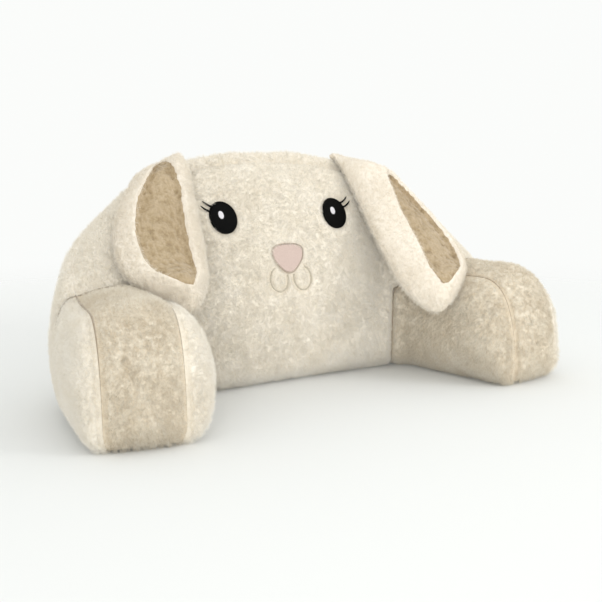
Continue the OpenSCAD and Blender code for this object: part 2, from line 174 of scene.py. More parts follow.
# How far the pile is pressed down round what is sewn on the face
BARE_DEPTH = 3.2
# Depth and half width of the valley along a seam, and half width of its dark line of painted shade
SEAM_DEPTH = 7.0
SEAM_WIDTH = 8.0
SEAM_LINE = 2.2
CROWN_SEAM_DEPTH = 1.0
SHOULDER_SEAM_DEPTH = 4.0
# Colour that the fur is multiplied by in a seam's line: painted shade
SEAM_SHADE = (0.42, 0.36, 0.3)
STRAND_PARENTS_PER_DM2 = 950
STRAND_CHILDREN = 7

# Camera, metres and degrees, and the studio
CAMERA_PLACE = (-0.8653, -1.3644, 0.4074)
CAMERA_AZIMUTH = -32.52
CAMERA_ELEVATION = 9.05
CAMERA_LENS = 56.05
CAMERA_SENSOR = 36
FLOOR_DROP = 0.4
FLOOR_SOLID = 0.5
FLOOR_GONE = 2.2


# ---------- small mathematics ----------
def mix(a, b, k):
    return a + (b - a) * k


def smooth(v):
    u = np.clip(v, 0, 1)
    return u * u * (3 - 2 * u)


def within(distance, reach, fade):
    """1 where a distance is well under the reach, falling to 0 at it over this fade."""
    return smooth((reach - distance) / fade)


def unit(v):
    return v / np.maximum(np.linalg.norm(v, axis=-1, keepdims=True), 1e-9)


def noise(points, size, seed):
    """Smooth noise from -1 to 1 whose lumps have this size; size may differ along x, y and z."""
    count = 32
    lattice = np.random.default_rng(seed).uniform(-1, 1, (count, count, count))
    q = points / np.asarray(size, float)
    cell = np.floor(q).astype(int)
    f = q - cell
    f = f * f * (3 - 2 * f)
    total = np.zeros(points.shape[:-1])
    for corner in np.ndindex(2, 2, 2):
        weight = np.prod(np.where(corner, f, 1 - f), axis=-1)
        at = (cell + corner) % count
        total += weight * lattice[at[..., 0], at[..., 1], at[..., 2]]
    return total


# ---------- the swept body ----------
def bend(s):
    return np.clip((s - HALF_BACK) / CORNER_RADIUS, 0, CORNER_TURN)


def place(s, w, z):
    """The point at distance s along the U, w out from it and z up."""
    s = np.asarray(s, float)
    q = np.abs(s)
    turn = bend(q)
    side = np.where(s < 0, -1.0, 1.0)
    straight = np.maximum(q - HALF_BACK - CORNER_LENGTH, 0)
    x = np.minimum(q, HALF_BACK) + CORNER_RADIUS * np.sin(turn) + straight * math.cos(CORNER_TURN)
    y = BACK_Y - CORNER_RADIUS * (1 - np.cos(turn)) - straight * math.sin(CORNER_TURN)
    return np.stack(np.broadcast_arrays(side * (x + np.sin(turn) * w), y + np.cos(turn) * w, z), -1)


def head_share(s):
    return smooth((ARM_START - np.abs(s)) / (ARM_START - HEAD_END))


def level(s):
    dome = HEAD_HEIGHT - (HEAD_HEIGHT - ARM_HEIGHT) * (np.abs(s) / HEAD_HALF) ** DOME_POWER
    over = dome - ARM_HEIGHT
    return ARM_HEIGHT + (over + np.sqrt(over * over + SHOULDER_BLEND**2)) / 2


def seam_z(s):
    u = np.clip((np.abs(s) - PATH_END + FRONT_ROUND) / FRONT_ROUND, 0, 1)
    return level(s) * (1 - u**FRONT_POWER) ** (1 / FRONT_POWER)


def seam_half(s):
    return mix(ARM_HALF, CROWN_HALF, head_share(s))


def base_half(s):
    return mix(ARM_HALF, HEAD_BASE_HALF, head_share(s))


def bulge(s, side):
    if side < 0:
        return mix(INNER_BULGE, FACE_BULGE, head_share(s))
    return mix(OUTER_BULGE, REAR_BULGE, head_share(s))


def side_width(s, t, side):
    low = np.clip(t, 0, 1) ** mix(1, BULGE_LOW, head_share(s))
    full = np.maximum(4 * low * (1 - low), 0)
    swell = bulge(s, side) * full**BULGE_POWER * np.clip(seam_z(s) / ARM_HEIGHT, 0, 1) ** 0.7
    return mix(base_half(s), seam_half(s), t) + swell


def side_point(s, t, side, inset=0.0):
    return place(s, side * (side_width(s, t, side) - inset), t * seam_z(s))


def top_point(s, v, rise=1.0):
    """A point on the top strip; it swells upward on the head and arm, and forward down the arm's front."""
    step = 0.5
    near = np.minimum(np.abs(s), PATH_END - step)
    slope = (seam_z(near + step) - seam_z(near - step)) / (2 * step)
    size = np.sqrt(1 + slope * slope)
    tuck = smooth(seam_z(s) / 60 + 0.15)
    swell = CROWN_BULGE * (1 - v * v) * rise * tuck
    out = np.abs(s) - swell * slope / size
    return place(np.where(s < 0, -out, out), v * seam_half(s), seam_z(s) + swell / size)


def on_face(x, z, lift):
    """The point of the face at x across and z up, lifted forward off the cloth."""
    return place(x, -(side_width(x, z / seam_z(x), -1) + lift), z)


def tuck_foot(points, s):
    """Draws the lowest part of a panel in under the pillow, where it rounds over to the floor."""
    limit = PATH_END - FOOT_MIDDLE
    middle = place(np.clip(s, -limit, limit), 0, points[..., 2])
    pull = FOOT_TUCK * np.clip(1 - points[..., 2] / FOOT_TUCK_HEIGHT, 0, 1) ** 2
    return points + unit(middle - points) * pull[..., None]


def seam_station(point_at):
    """Where along the U the head's cloth ends, for each row of a panel, evened out over a few rows.

    point_at gives the points of every row at a list of distances along the U.
    """
    s = np.linspace(SEAM_S, SEAM_LIMIT, 217)
    points = point_at(s)
    radius = mix(FLEX_LOW, FLEX_HIGH, np.clip(points[..., 2] / FLEX_RISE, 0, 1))
    inside = np.hypot(points[..., 0] - FLEX_X, points[..., 1] - FLEX_Y) < radius
    last = np.where(inside.any(-1), inside.shape[-1] - 1 - np.argmax(inside[..., ::-1], axis=-1), 0)
    found = s[last]
    rows = 9
    kernel = np.hanning(rows) / np.hanning(rows).sum()
    return np.convolve(np.pad(found, rows // 2, mode="edge"), kernel, mode="valid")


# ---------- meshes ----------
def make_object(name, points, faces, materials, material_of_face=None):
    mesh = bpy.data.meshes.new(name)
    mesh.from_pydata((np.asarray(points) * MM).tolist(), [], [list(map(int, f)) for f in faces])
    mesh.polygons.foreach_set("use_smooth", np.ones(len(mesh.polygons), bool))
    for material in materials:
        mesh.materials.append(material)
    if material_of_face is not None:
        mesh.polygons.foreach_set("material_index", material_of_face)
    mesh.update()
    obj = bpy.data.objects.new(name, mesh)
    bpy.context.scene.collection.objects.link(obj)
    return obj


def set_attribute(obj, name, values):
    layer = obj.data.attributes.new(name, "FLOAT", "POINT")
    layer.data.foreach_set("value", np.asarray(values, np.float32).ravel())


def set_group(obj, name, weights, levels=20):
    """A vertex group holding these weights, rounded to a number of levels."""
    group = obj.vertex_groups.new(name=name)
    steps = np.round(np.asarray(weights).ravel() * levels).astype(int)
    for step in range(1, levels + 1):
        members = np.nonzero(steps == step)[0]
        if len(members):
            group.add(members.tolist(), step / levels, "REPLACE")


def grid_quads(rows, cols, wrap=False, start=0):
    i, j = np.meshgrid(np.arange(rows - 1), np.arange(cols if wrap else cols - 1), indexing="ij")
    n = (j + 1) % cols
    quads = np.stack([i * cols + j, i * cols + n, (i + 1) * cols + n, (i + 1) * cols + j], -1)
    return quads.reshape(-1, 4) + start


def grid_normals(grid):
    return unit(np.cross(np.gradient(grid, axis=1), np.gradient(grid, axis=0)))


def edge_lengths(grid):
    """Distance of each grid point from the grid's first row, last row, first column and last column."""
    down = np.linalg.norm(np.diff(grid, axis=0), axis=-1)
    across = np.linalg.norm(np.diff(grid, axis=1), axis=-1)
    row = np.vstack([np.zeros((1, grid.shape[1])), np.cumsum(down, axis=0)])
    col = np.hstack([np.zeros((grid.shape[0], 1)), np.cumsum(across, axis=1)])
    return row, row[-1] - row, col, col[:, -1:] - col


def shell(name, outer, inner, flip, materials):
    """A closed sheet between two equal grids of points."""
    rows, cols = outer.shape[:2]
    half = rows * cols
    top = grid_quads(rows, cols)
    under = grid_quads(rows, cols, start=half)[:, ::-1]
    rim = [(0, j) for j in range(cols)]
    rim += [(i, cols - 1) for i in range(1, rows)]
    rim += [(rows - 1, j) for j in range(cols - 2, -1, -1)]
    rim += [(i, 0) for i in range(rows - 2, 0, -1)]
    ids = np.array([i * cols + j for i, j in rim])
    after = np.roll(ids, -1)
    wall = np.stack([after, ids, ids + half, after + half], -1)
    faces = np.vstack([top, under, wall])
    if flip:
        faces = faces[:, ::-1]
    return make_object(name, np.vstack([outer.reshape(-1, 3), inner.reshape(-1, 3)]), faces, materials)


def tube(name, path, radius, across, materials, sides=10, wrap=False):
    """A round cord through a list of points, closed at both ends; its radius may be one for each point."""
    path = np.asarray(path, float)
    if wrap:
        ahead = np.roll(path, -1, 0) - np.roll(path, 1, 0)
    else:
        ahead = np.gradient(path, axis=0)
    a = unit(np.cross(ahead, across))
    b = unit(np.cross(ahead, a))
    k = np.linspace(0, 2 * np.pi, sides, endpoint=False)
    radius = np.broadcast_to(np.asarray(radius, float), len(path))[:, None, None]
    rings = path[:, None] + radius * (a[:, None] * np.cos(k)[:, None] + b[:, None] * np.sin(k)[:, None])
    count = len(path)
    faces = grid_quads(count, sides, wrap=True)
    if wrap:
        j = np.arange(sides)
        n = (j + 1) % sides
        last = (count - 1) * sides
        faces = np.vstack([faces, np.stack([last + j, last + n, n, j], -1)])
    faces = faces.tolist()
    if not wrap:
        faces.append(list(range(sides - 1, -1, -1)))
        faces.append([(count - 1) * sides + j for j in range(sides)])
    faces = [f[::-1] for f in faces]
    return make_object(name, rings.reshape(-1, 3), faces, materials)


# ---------- materials ----------
def new_material(name, roughness, sheen=0.0, metallic=0.0, specular=0.3):
    material = bpy.data.materials.new(name)
    material.use_nodes = True
    shader = material.node_tree.nodes["Principled BSDF"]
    shader.inputs["Roughness"].default_value = roughness
    shader.inputs["Metallic"].default_value = metallic
    shader.inputs["Sheen Weight"].default_value = sheen
    shader.inputs["Sheen Roughness"].default_value = 0.5
    shader.inputs["Specular IOR Level"].default_value = specular
    return material, material.node_tree, shader


def add_noise(tree, scale, detail=3.0, stretch=(1, 1, 1)):
    """A noise texture on the object's own coordinates; scale is in lumps per metre."""
    coordinates = tree.nodes.new("ShaderNodeTexCoord")
    mapping = tree.nodes.new("ShaderNodeMapping")
    mapping.inputs["Scale"].default_value = stretch
    texture = tree.nodes.new("ShaderNodeTexNoise")
    texture.inputs["Scale"].default_value = scale
    texture.inputs["Detail"].default_value = detail
    tree.links.new(coordinates.outputs["Object"], mapping.inputs["Vector"])
    tree.links.new(mapping.outputs["Vector"], texture.inputs["Vector"])
    return texture.outputs["Fac"]


def add_ramp(tree, value, stops):
    """A colour ramp; stops are (position, colour)."""
    ramp = tree.nodes.new("ShaderNodeValToRGB")
    elements = ramp.color_ramp.elements
    while len(elements) < len(stops):
        elements.new(0.5)
    for element, (position, colour) in zip(elements, stops):
        element.position = position
        element.color = (*colour, 1)
    tree.links.new(value, ramp.inputs["Fac"])
    return ramp.outputs["Color"]


def add_mix(tree, a, b, factor, blend="MIX"):
    node = tree.nodes.new("ShaderNodeMix")
    node.data_type = "RGBA"
    node.blend_type = blend
    tree.links.new(a, node.inputs["A"])
    tree.links.new(b, node.inputs["B"])
    if isinstance(factor, float):
        node.inputs["Factor"].default_value = factor
    else:
        tree.links.new(factor, node.inputs["Factor"])
    return node.outputs["Result"]


def add_bump(tree, shader, height, distance, strength=1.0):
    bump = tree.nodes.new("ShaderNodeBump")
    bump.inputs["Distance"].default_value = distance
    bump.inputs["Strength"].default_value = strength
    tree.links.new(height, bump.inputs["Height"])
    tree.links.new(bump.outputs["Normal"], shader.inputs["Normal"])


def fur_material(name, deep, mid, light):
    """Short plush pile: darker between the tufts and in the seams as painted shade, lighter on the tufts'
    tips as painted light.
    """
    material, tree, shader = new_material(name, 0.92, sheen=0.25)
    # Painted shade and light: the tuft attribute, the pile's height, makes the pits between tufts darker and
    # the tips lighter
    tuft = tree.nodes.new("ShaderNodeAttribute")
    tuft.attribute_name = "tuft"
    painted_tuft_shading = add_ramp(tree, tuft.outputs["Fac"], [(0.0, deep), (0.45, mid), (0.8, light)])
    grains = add_noise(tree, 330, 3.0, (1, 1, 0.55))
    by_grain = add_ramp(tree, grains, [(0.3, deep), (0.5, mid), (0.68, light)])
    colour = add_mix(tree, painted_tuft_shading, by_grain, 0.35)
    drift = add_ramp(tree, add_noise(tree, 14, 2.0), [(0.3, (0.93, 0.9, 0.86)), (0.7, (1.04, 1.03, 1.02))])
    colour = add_mix(tree, colour, drift, 1.0, "MULTIPLY")
    # Painted shade along the seams, from the seam attribute
    seam = tree.nodes.new("ShaderNodeAttribute")
    seam.attribute_name = "seam"
    painted_seam_shade = add_ramp(tree, seam.outputs["Fac"], [(0.0, (1, 1, 1)), (1.0, SEAM_SHADE)])
    colour = add_mix(tree, colour, painted_seam_shade, 1.0, "MULTIPLY")
    tree.links.new(colour, shader.inputs["Base Color"])
    add_bump(tree, shader, add_noise(tree, 520, 4.0, (1, 1, 0.45)), 0.0012, 0.9)
    return material


def strand_material(name, mid, light):
    material, tree, shader = new_material(name, 0.75, sheen=0.3)
    fine = add_ramp(tree, add_noise(tree, 380, 3.0, (1, 1, 0.6)), [(0.38, mid), (0.62, light)])
    broad = add_ramp(tree, add_noise(tree, 22, 3.0), [(0.36, mid), (0.64, light)])
    tree.links.new(add_mix(tree, fine, broad, 0.4), shader.inputs["Base Color"])
    return material


def thread_material(name, dark, light, pitch, roughness=0.45, sheen=0.15, specular=0.3):
    """Rows of satin stitch laid side by side; pitch is how many rows go into a metre."""
    material, tree, shader = new_material(name, roughness, sheen=sheen, specular=specular)
    coordinates = tree.nodes.new("ShaderNodeTexCoord")
    rows = tree.nodes.new("ShaderNodeTexWave")
    rows.inputs["Scale"].default_value = pitch / 2
    rows.inputs["Distortion"].default_value = 1.2
    rows.inputs["Detail"].default_value = 2
    rows.bands_direction = "Z"
    tree.links.new(coordinates.outputs["Object"], rows.inputs["Vector"])
    colour = add_ramp(tree, rows.outputs["Fac"], [(0.1, dark), (0.8, light)])
    tree.links.new(colour, shader.inputs["Base Color"])
    add_bump(tree, shader, rows.outputs["Fac"], 0.0004, 0.8)
    return material


def felt_material(name, dark, light):
    material, tree, shader = new_material(name, 0.85, sheen=0.35)
    fibres = add_noise(tree, 900, 5.0)
    colour = add_ramp(tree, fibres, [(0.35, dark), (0.65, light)])
    tree.links.new(colour, shader.inputs["Base Color"])
    add_bump(tree, shader, fibres, 0.0003, 0.7)
    return material


def weave_material(name, dark, light, threads=900):
    """Plain woven cloth: warp and weft crossing; threads is how many go into a metre."""
    material, tree, shader = new_material(name, 0.85, sheen=0.1)
    coordinates = tree.nodes.new("ShaderNodeTexCoord")
    crossings = []
    for direction in ("X", "DIAGONAL"):
        wave = tree.nodes.new("ShaderNodeTexWave")
        wave.inputs["Scale"].default_value = threads / 6
        wave.inputs["Distortion"].default_value = 0.4
        wave.bands_direction = direction
        tree.links.new(coordinates.outputs["Object"], wave.inputs["Vector"])
        crossings.append(wave.outputs["Color"])
    both = add_mix(tree, crossings[0], crossings[1], 1.0, "DIFFERENCE")
    colour = add_ramp(tree, both, [(0.1, dark), (0.8, light)])
    colour = add_mix(tree, colour, add_ramp(tree, add_noise(tree, 60), [(0.3, dark), (0.7, light)]), 0.3)
    tree.links.new(colour, shader.inputs["Base Color"])
    add_bump(tree, shader, both, 0.0003, 0.6)
    return material


def metal_material(name, colour):
    material, tree, shader = new_material(name, 0.32, metallic=1.0, specular=0.5)
    brushed = add_noise(tree, 1500, 4.0, (0.1, 1, 1))
    darker = tuple(c * 0.8 for c in colour)
    tree.links.new(add_ramp(tree, brushed, [(0.3, darker), (0.7, colour)]), shader.inputs["Base Color"])
    add_bump(tree, shader, brushed, 0.0001, 0.5)
    return material


def plastic_material(name, dark, light):
    material, tree, shader = new_material(name, 0.4)
    tree.links.new(add_ramp(tree, add_noise(tree, 400), [(0.3, dark), (0.7, light)]),
                   shader.inputs["Base Color"])
    return material


FUR = fur_material("ivory_fur", (0.64, 0.57, 0.45), (0.84, 0.79, 0.69), (0.9, 0.86, 0.79))
RIM = fur_material("ear_rim_fur", (0.62, 0.54, 0.42), (0.8, 0.74, 0.64), (0.87, 0.82, 0.74))
# Painted shade: a darker copy of the ivory fur, with its strands, for the arms' front strips and the right
# arm's inner panel
SHADED_FUR = fur_material("honey_fur", (0.47, 0.38, 0.26), (0.72, 0.64, 0.51), (0.84, 0.79, 0.69))
LINING = fur_material("tan_lining_fur", (0.2, 0.14, 0.075), (0.38, 0.29, 0.17), (0.5, 0.4, 0.27))
FUR_STRANDS = strand_material("ivory_strands", (0.83, 0.78, 0.68), (0.92, 0.89, 0.83))
RIM_STRANDS = strand_material("rim_strands", (0.8, 0.74, 0.63), (0.88, 0.83, 0.75))
SHADED_FUR_STRANDS = strand_material("honey_strands", (0.64, 0.56, 0.43), (0.87, 0.83, 0.74))
LINING_STRANDS = strand_material("tan_strands", (0.36, 0.27, 0.16), (0.52, 0.42, 0.29))
WADDING = felt_material("white_wadding", (0.82, 0.82, 0.8), (0.95, 0.95, 0.93))
BLACK = thread_material("black_thread", (0.001, 0.001, 0.001), (0.004, 0.004, 0.004), 900,
                        roughness=0.6, sheen=0.0, specular=0.08)
WHITE = thread_material("white_thread", (0.72, 0.7, 0.74), (0.9, 0.89, 0.92), 900)
PINK = felt_material("pink_felt", (0.5, 0.385, 0.335), (0.6, 0.48, 0.43))
TAN = thread_material("tan_thread", (0.42, 0.33, 0.25), (0.68, 0.57, 0.47), 1200)
# Cream thread, darker than the thread's own colour: partly its colour, partly painted shade where the loops
# sink into the pile
SHADED_CREAM_THREAD = thread_material("cream_thread", (0.52, 0.45, 0.34), (0.74, 0.68, 0.56), 1200)
BASE = weave_material("base_cloth", (0.5, 0.45, 0.37), (0.68, 0.62, 0.52))
TAPE = weave_material("zipper_tape", (0.6, 0.55, 0.45), (0.78, 0.73, 0.63), 1500)
LABEL = weave_material("blank_label", (0.8, 0.8, 0.78), (0.93, 0.93, 0.91), 1400)
TEETH = plastic_material("zipper_teeth", (0.68, 0.63, 0.52), (0.8, 0.75, 0.65))
METAL = metal_material("zipper_metal", (0.6, 0.6, 0.61))


# ---------- fur ----------
def face_mask(points):
    """How bare the cloth is at each point: 1 under the sewn eyes, nose and zipper, 0 in open fur."""
    x, y, z = points[..., 0], points[..., 1], points[..., 2]
    front = y < BACK_Y
    bare = np.zeros(x.shape)
    for side in SIDES.values():
        dx, dz = x - side * EYE_X, z - EYE_Z
        across = (dx * math.cos(EYE_LEAN) + dz * math.sin(EYE_LEAN)) / (EYE_WIDE / 2)
        up = (dz * math.cos(EYE_LEAN) - dx * math.sin(EYE_LEAN)) / (EYE_TALL / 2)
        eye = within(np.hypot(across, up), 1.24, 0.16)
        ring = np.hypot(x - side * MOUTH_X, (z - MOUTH_Z) * MOUTH_LOOP / MOUTH_TALL)
        mouth = within(np.abs(ring - MOUTH_LOOP / 2), 7.5, 3)
        lash_x = side * x - EYE_X - EYE_WIDE / 2
        lash_z = z - EYE_Z - EYE_TALL * 0.27 - 0.35 * lash_x
        lashes = within(np.abs(lash_z), 8, 4) * within(np.abs(lash_x - 7), 9, 4)
        bare = np.max([bare, eye, mouth, lashes], axis=0)
    nose_half = NOSE_WIDE / 2 * (0.72 + 0.012 * (z - NOSE_Z))
    nose = np.hypot(x / nose_half, (z - NOSE_Z) / (NOSE_TALL / 2))
    bare = np.maximum(bare, within(nose, 1.2, 0.2)) * front
    zipper = within(np.abs(z - ZIP_Z), 22, 5) * within(np.abs(x), ZIP_HALF + 10, 5)
    return np.maximum(bare, zipper * ~front)


def tuft_noise(points, size, lie, seed):
    """Noise whose lumps are this size across and longer by the factor lie up and down."""
    return noise(points, (size, size, size * lie), seed)


def tufting(points, lie=1.6):
    """Height of the pile from about -1 to 1: tufts a few millimetres across, longer along their lie."""
    drift = noise(points, 40, seed=5) * 5
    warped = points + drift[..., None]
    big = 1 - 2.4 * np.abs(tuft_noise(warped, TUFT_SIZE, lie, seed=11))
    small = 1 - 2.2 * np.abs(tuft_noise(warped, SMALL_TUFT_SIZE, lie, seed=12))
    fine = tuft_noise(points, FINE_TUFT_SIZE, lie, seed=13)
    return 0.45 * big + 0.35 * small + 0.3 * fine


def furry(grid, sign, tuft_height, seams):
    """Raises tufts on a panel and draws it in along its seams.

    seams gives how deep the seam along each of its four edges is, in edge_lengths' order, 0 where it has
    none. It returns the moved points, how high the pile stands on them, how deep in a seam they lie, which
    sets the painted shade there, and how much hair grows there.
    """
    normals = grid_normals(grid) * sign
    lengths = edge_lengths(grid)
    edges = list(zip(lengths, seams))
    to_seam = np.min([length for length, depth in edges if depth], axis=0)
    to_edge = np.min(lengths, axis=0)
    bare = face_mask(grid)
    patchy = 0.62 + 0.38 * smooth(0.5 + 0.9 * noise(grid, 75, seed=21))
    height = tufting(grid) * patchy * (1 - bare)
    lumps = 2.2 * noise(grid, 62, seed=31) + 1.1 * noise(grid, 31, seed=32)
    raised = tuft_height * height + lumps * smooth(to_edge / 40) - BARE_DEPTH * bare
    drawn = np.max([depth * np.exp(-((length / SEAM_WIDTH) ** 2)) for length, depth in edges], axis=0)
    rise = raised * smooth(to_edge / 9) - drawn * smooth(to_edge / 3)
    moved = grid + normals * rise[..., None]
    lowest = 0.4
    moved[..., 2] = np.maximum(moved[..., 2], np.minimum(grid[..., 2], lowest))
    # Pile height for the material's painted shade and light; round what is sewn on the face it is set lower,
    # as painted shade in the pressed-down pile
    tuft = np.clip(0.5 + 0.5 * height - 0.1 * bare, 0, 1)
    # How much painted shade darkens each point in a seam's line
    painted_seam_shade = np.max([depth / SEAM_DEPTH * np.exp(-((length / SEAM_LINE) ** 2)) for length, depth in edges],
                    axis=0)
    fur = (1 - bare) * smooth((to_seam - 0.8) / 2.5)
    return moved, tuft, painted_seam_shade, fur


def add_strands(obj, area_dm2, length, seed, spread=1.0):
    """Short hair over the vertex group "fur", in small clumps that lean down."""
    obj.modifiers.new("fur", "PARTICLE_SYSTEM")
    system = obj.particle_systems[-1]
    system.seed = seed
    system.vertex_group_density = "fur"
    hair = system.settings
    hair.type = "HAIR"
    hair.count = int(area_dm2 * STRAND_PARENTS_PER_DM2)
    hair.use_advanced_hair = True
    hair.hair_step = 3
    hair.render_step = 2
    hair.display_step = 2
    hair.hair_length = length * MM
    # These two add up with hair_length, so they go by the length too
    hair.object_align_factor = (0, 0, -0.1 * length * MM)
    hair.factor_random = 0.12 * length * MM * spread
    hair.child_type = "INTERPOLATED"
    hair.child_percent = 0
    hair.rendered_child_count = STRAND_CHILDREN
    hair.child_length = 1.0
    hair.clump_factor = 0.75
    hair.clump_shape = 0.1
    hair.roughness_1 = 0.002
    hair.roughness_endpoint = 0.004
    hair.roughness_2 = 0.003
    hair.radius_scale = 0.001
    hair.root_radius = 0.3
    hair.tip_radius = 0.08
    hair.material = 2


def bend_with_arm(obj, side_name):
    side = SIDES[side_name]
    start = place(side * BLEND_START, 0, ARM_HEIGHT / 2) * MM
    end = place(side * BLEND_END, 0, ARM_HEIGHT / 2) * MM
    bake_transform(obj)


def settle(obj, nodes, body=None, arm=None):
    """Hides the frame's parts that a piece stands for and puts the piece on a body; a piece of an arm only
    has its place baked into its mesh.
    """
    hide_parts(*nodes)
    if arm:
        bend_with_arm(obj, arm)
    else:
        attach(obj, body)


def fur_panel(name, grid, inner, sign, seams, nodes, arm=None, tuft_height=TUFT_HEIGHT, looks=None):
    """One panel of fur cloth, riding on the head; a panel of an arm is left on no body."""
    outer, tuft, painted_seam_shade, fur = furry(grid, sign, tuft_height, seams)
    obj = shell(name, outer, inner, sign < 0, looks or [FUR, FUR_STRANDS])
    count = tuft.size
    set_attribute(obj, "tuft", np.concatenate([tuft.ravel(), np.full(count, 0.3)]))
    set_attribute(obj, "seam", np.concatenate([painted_seam_shade.ravel(), np.zeros(count)]))
    set_group(obj, "fur", np.concatenate([fur.ravel(), np.zeros(count)]))
    rows = np.linalg.norm(np.diff(grid, axis=0), axis=-1).sum(0).mean()
    cols = np.linalg.norm(np.diff(grid, axis=1), axis=-1).sum(1).mean()
    mm2_per_dm2 = 1e4
    add_strands(obj, rows * cols / mm2_per_dm2, PILE, seed=len(bpy.data.objects))
    settle(obj, nodes, body="back", arm=arm)


# ---------- panels of the head and arms ----------
def eased(count):
    """From 0 to 1, closer together toward both ends."""
    return (1 - np.cos(np.linspace(0, np.pi, count))) / 2


def arm_stations(count_back, count_front):
    """Shares of the way from the head's seam to the front rounding, then distances round the front."""
    share = np.linspace(0, 1, count_back)
    angle = np.radians(np.linspace(0, 89.5, count_front + 1)[1:])
    front = PATH_END - FRONT_ROUND + FRONT_ROUND * np.sin(angle) ** (2 / FRONT_POWER)
    return share, front


def head_side(side, rows=132, cols=225):
    t = eased(rows)
    end = seam_station(lambda s: side_point(s[None, :], t[:, None], side))
    q = np.linspace(-1, 1, cols)
    s = end[:, None] * q[None, :]
    t = np.broadcast_to(t[:, None], s.shape)
    return tuck_foot(side_point(s, t, side), s), tuck_foot(side_point(s, t, side, CLOTH), s)


def head_strip(side, rows=26, cols=150):
    v = -np.cos(np.linspace(0, np.pi, rows))
    end = seam_station(lambda s: top_point(s[None, :], v[:, None]))
    q = np.linspace(0, 1, cols)
    if side < 0:
        q = q[::-1]
    s = side * end[:, None] * q[None, :]
    v = np.broadcast_to(v[:, None], s.shape)
    return top_point(s, v), top_point(s, v, 0.74) - np.array([0, 0, 1.0])


def arm_grid(row_values, point_at, inner_at, side, back, front):
    """A grid of an arm's panel from the head's seam to the foot of the arm's front."""
    end = seam_station(lambda s: point_at(s[None, :], row_values[:, None]))
    share, rounded = arm_stations(back, front)
    straight = end[:, None] + (PATH_END - FRONT_ROUND - end[:, None]) * share[None, :]
    s = np.hstack([straight, np.broadcast_to(rounded, (len(end), len(rounded)))])
    if side < 0:
        s = -s[:, ::-1]
    rows = np.broadcast_to(row_values[:, None], s.shape)
    return tuck_foot(point_at(s, rows), s), tuck_foot(inner_at(s, rows), s)


def arm_side(side, facing, rows=76):
    return arm_grid(eased(rows), lambda s, t: side_point(s, t, facing),
                    lambda s, t: side_point(s, t, facing, CLOTH), side, 72, 44)


def arm_strip(side, rows=52):
    return arm_grid(-np.cos(np.linspace(0, np.pi, rows)), top_point,
                    lambda s, v: top_point(s, v, 0.6) - np.array([0, 0, 1.0]), side, 62, 74)


def build_head():
    outer, inner = head_side(-1)
    fur_panel("face_fur", outer, inner, 1, (0, CROWN_SEAM_DEPTH, SEAM_DEPTH, SEAM_DEPTH), ["face_panel"])
    outer, inner = head_side(1)
    rear_seams = (0, 1.5 * CROWN_SEAM_DEPTH, SEAM_DEPTH, SEAM_DEPTH)
    fur_panel("rear_fur", outer, inner, -1, rear_seams, ["rear_panel"])
    for name, side in SIDES.items():
        outer, inner = head_strip(side)
        ends = (SHOULDER_SEAM_DEPTH, 0) if side < 0 else (0, SHOULDER_SEAM_DEPTH)
        seams = (CROWN_SEAM_DEPTH, CROWN_SEAM_DEPTH, *ends)
        fur_panel(f"{name}_shoulder_fur", outer, inner, 1, seams, [f"{name}_shoulder_strip"])


def build_arm(name):
    side = SIDES[name]
    ends = (SEAM_DEPTH, 0) if side > 0 else (0, SEAM_DEPTH)
    for facing, panel in ((-1, "inner"), (1, "outer")):
        outer, inner = arm_side(side, facing)
        # The right arm's inner panel gets the darker fur as painted shade; the left arm's inner panel keeps
        # the ivory fur
        looks = [SHADED_FUR, SHADED_FUR_STRANDS] if (name, panel) == ("right", "inner") else None
        fur_panel(f"{name}_{panel}_arm_fur", outer, inner, -facing, (0, SEAM_DEPTH, *ends),
                  [f"{name}_{panel}_panel"], arm=name, looks=looks)
    outer, inner = arm_strip(side)
    # The arms' front strips get the darker fur as painted shade
    fur_panel(f"{name}_arm_front_fur", outer, inner, 1, (SEAM_DEPTH, SEAM_DEPTH, *ends),
              [f"{name}_arm_gusset"], arm=name, tuft_height=GUSSET_TUFT_HEIGHT, looks=[SHADED_FUR, SHADED_FUR_STRANDS])


# ---------- underneath and inside ----------
def base_sheet(name, s, nodes, arm=None):
    v = np.linspace(-1, 1, 41)
    s = np.broadcast_to(s[None, :], (len(v), len(s)))
    w = v[:, None] * (base_half(s) - CLOTH - FOOT_TUCK)
    obj = shell(name, place(s, w, BASE_CLOTH), place(s, w, 0.0), False, [BASE])
    settle(obj, nodes, body="back", arm=arm)


def wadding(name, s, nodes, arm=None):
    """Stuffing: the section pulled in by the cloth, with the lumps of loose fibre."""
    inset = CLOTH + 4
    lump = 1.6
    t = eased(40)[None, :]
    s = s[:, None]
    low, high = BASE_CLOTH + 1, np.maximum(seam_z(s) - 3, BASE_CLOTH + 2)
    front = place(s, -(side_width(s, t, -1) - inset), mix(low, high, t))
    v = np.linspace(-0.7, 0.7, 9)[None, :]
    top = place(s, v * (seam_half(s) - inset), high + CROWN_BULGE * (1 - v * v) * 0.4)
    rear = place(s, side_width(s, t[:, ::-1], 1) - inset, mix(low, high, t[:, ::-1]))
    rings = tuck_foot(np.concatenate([front, top, rear], axis=1), s)
    outward = unit(rings - rings.mean(1, keepdims=True))
    rings = rings + outward * (lump * noise(rings, 18, seed=41) - lump)[..., None]
    rows, cols = rings.shape[:2]
    faces = grid_quads(rows, cols, wrap=True).tolist()
    faces.append(list(range(cols - 1, -1, -1)))
    faces.append([(rows - 1) * cols + j for j in range(cols)])
    obj = make_object(name, rings.reshape(-1, 3), faces, [WADDING])
    settle(obj, nodes, body="back", arm=arm)


